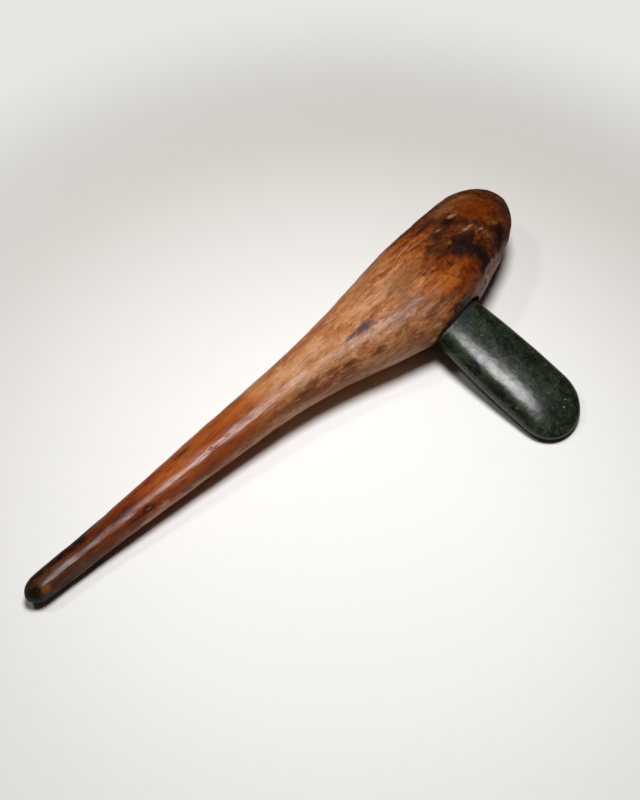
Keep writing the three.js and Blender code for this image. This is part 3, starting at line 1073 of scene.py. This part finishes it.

# in the middle of the scene a painted pool of light makes it a little brighter, and far away it melts into
# the backdrop; seen in the gloss it is a painted reflection, bright only near the axe, like a lit table in
# a dim room
floorValues = {
    "size": 14,
    "roughness": 0.55,
    "colour": rgb(0.90, 0.89, 0.87),
    "paintedFalloffColour": rgb(0.64, 0.61, 0.57),
    "paintedPoolMiddle": (-0.10, -0.09, 0),
    "paintedPoolReach": (0.10, 0.66),
    "litColour": rgb(0.52, 0.51, 0.48),
    "farColour": rgb(0.05, 0.045, 0.045),
    "litReach": (0.40, 0.48),
    "fadeMiddle": (0.05, 0.04, 0),
    "fadeReach": (0.34, 0.66),
}


def makeFloorMaterial():
    material, tree = newMaterial("paleFloor")
    place = addNode(tree, "TexCoord", {}).outputs["Object"]
    lightPath = addNode(tree, "LightPath", {}).outputs
    fromPool = vectorMaths(tree, "LENGTH", vectorMaths(tree, "SUBTRACT", place, floorValues["paintedPoolMiddle"]))
    fromFade = vectorMaths(tree, "LENGTH", vectorMaths(tree, "SUBTRACT", place, floorValues["fadeMiddle"]))
    # a painted pool of light: the floor's colour darkens away from the pool's middle
    colour = mixColour(tree, rangeOf(tree, fromPool, *floorValues["paintedPoolReach"]),
                       floorValues["colour"], floorValues["paintedFalloffColour"])
    # a painted reflection: seen in the gloss, the floor is bright only near the axe
    glossy = mixColour(tree, rangeOf(tree, fromPool, *floorValues["litReach"]),
                       floorValues["litColour"], floorValues["farColour"])
    colour = mixColour(tree, lightPath["Is Glossy Ray"], colour, glossy)
    shader = addNode(tree, "BsdfPrincipled", {"Base Color": colour, "Roughness": floorValues["roughness"]})
    glow = addNode(tree, "Emission", {"Color": backdropColour, "Strength": 1.0})
    fade = scaled(tree, rangeOf(tree, fromFade, *floorValues["fadeReach"]), lightPath["Is Camera Ray"])
    mix = addNode(tree, "MixShader", {0: fade, 1: shader.outputs[0], 2: glow.outputs[0]})
    addNode(tree, "OutputMaterial", {"Surface": mix.outputs[0]})
    return material


selectNothing()
bpy.ops.mesh.primitive_plane_add(size=floorValues["size"], location=(0, 0, 0))
floor = bpy.context.object
floor.name = "floor"
floor.data.materials.append(makeFloorMaterial())

# from and aim are places in metres; a soft light gives no reflections, and a shine light gives
# nothing but a reflection, on one piece alone
lightValues = {
    "overheadSoft": {"from": (0.10, 0.09, 1.20), "aim": (0, 0, 0), "size": (0.42, 0.42), "watts": 15.5},
    "sideSoft": {"from": (-0.40, 0.75, 1.30), "aim": (-0.05, 0, 0), "size": (0.20, 0.20), "watts": 3.0},
    "gripShine": {"from": (-0.01, -0.67, 1.40), "aim": (-0.10, 0.07, 0.03), "size": (0.34, 0.30),
                  "watts": 14.5, "on": haft},
    "ridgeShine": {"from": (-0.15, -0.42, 1.40), "aim": (-0.05, 0.07, 0.04), "size": (0.26, 0.46),
                   "watts": 6.5, "on": haft},
    "stoneShine": {"from": (0.30, -0.20, 1.45), "aim": (0.142, -0.098, 0.03), "size": (0.45, 0.85),
                   "watts": 13.0, "on": stone},
}


def addLight(name, values):
    aim = Vector(values["aim"]) - Vector(values["from"])
    turn = aim.to_track_quat("-Z", "Y").to_euler()
    selectNothing()
    bpy.ops.object.light_add(type="AREA", location=values["from"], rotation=turn)
    light = bpy.context.object
    light.name = name
    light.data.shape = "ELLIPSE"
    light.data.size, light.data.size_y = values["size"]
    light.data.energy = values["watts"]
    light.visible_diffuse = "on" not in values
    light.visible_glossy = "on" in values
    if "on" in values:
        receivers = bpy.data.collections.new(name + "Receivers")
        receivers.objects.link(values["on"])
        light.light_linking.receiver_collection = receivers


for name, values in lightValues.items():
    addLight(name, values)

ambientColour = rgb(0.016, 0.011, 0.007)  # a trace of warm light from all round


def makeWorld():
    # the camera sees a pale backdrop, and the axe only the trace of light
    world = bpy.data.worlds.new("studio")
    bpy.context.scene.world = world
    world.use_nodes = True
    tree = world.node_tree
    tree.nodes.clear()
    seen = addNode(tree, "LightPath", {}).outputs["Is Camera Ray"]
    colour = mixColour(tree, seen, ambientColour, backdropColour)
    sky = addNode(tree, "Background", {"Color": colour, "Strength": 1.0})
    addNode(tree, "OutputWorld", {"Surface": sky.outputs[0]})


makeWorld()

cameraValues = {
    "aim": (0.0102, 0.0627, 0), "distance": 0.8973, "azimuth": radians(-45), "pitch": radians(55),
    "roll": radians(0.5), "lens": 42.3,
}


def makeCamera():
    azimuth, pitch = cameraValues["azimuth"], cameraValues["pitch"]
    turn = Matrix.Rotation(azimuth, 3, "Z") @ Matrix.Rotation(pi / 2 - pitch, 3, "X")
    turn = turn @ Matrix.Rotation(cameraValues["roll"], 3, "Z")
    away = turn @ Vector((0, 0, cameraValues["distance"]))
    selectNothing()
    bpy.ops.object.camera_add(location=Vector(cameraValues["aim"]) + away, rotation=turn.to_euler())
    camera = bpy.context.object
    camera.name = "camera"
    camera.data.lens = cameraValues["lens"]
    bpy.context.scene.camera = camera


makeCamera()
bpy.context.scene.view_settings.view_transform = "Standard"
print("stage, lights and camera set")
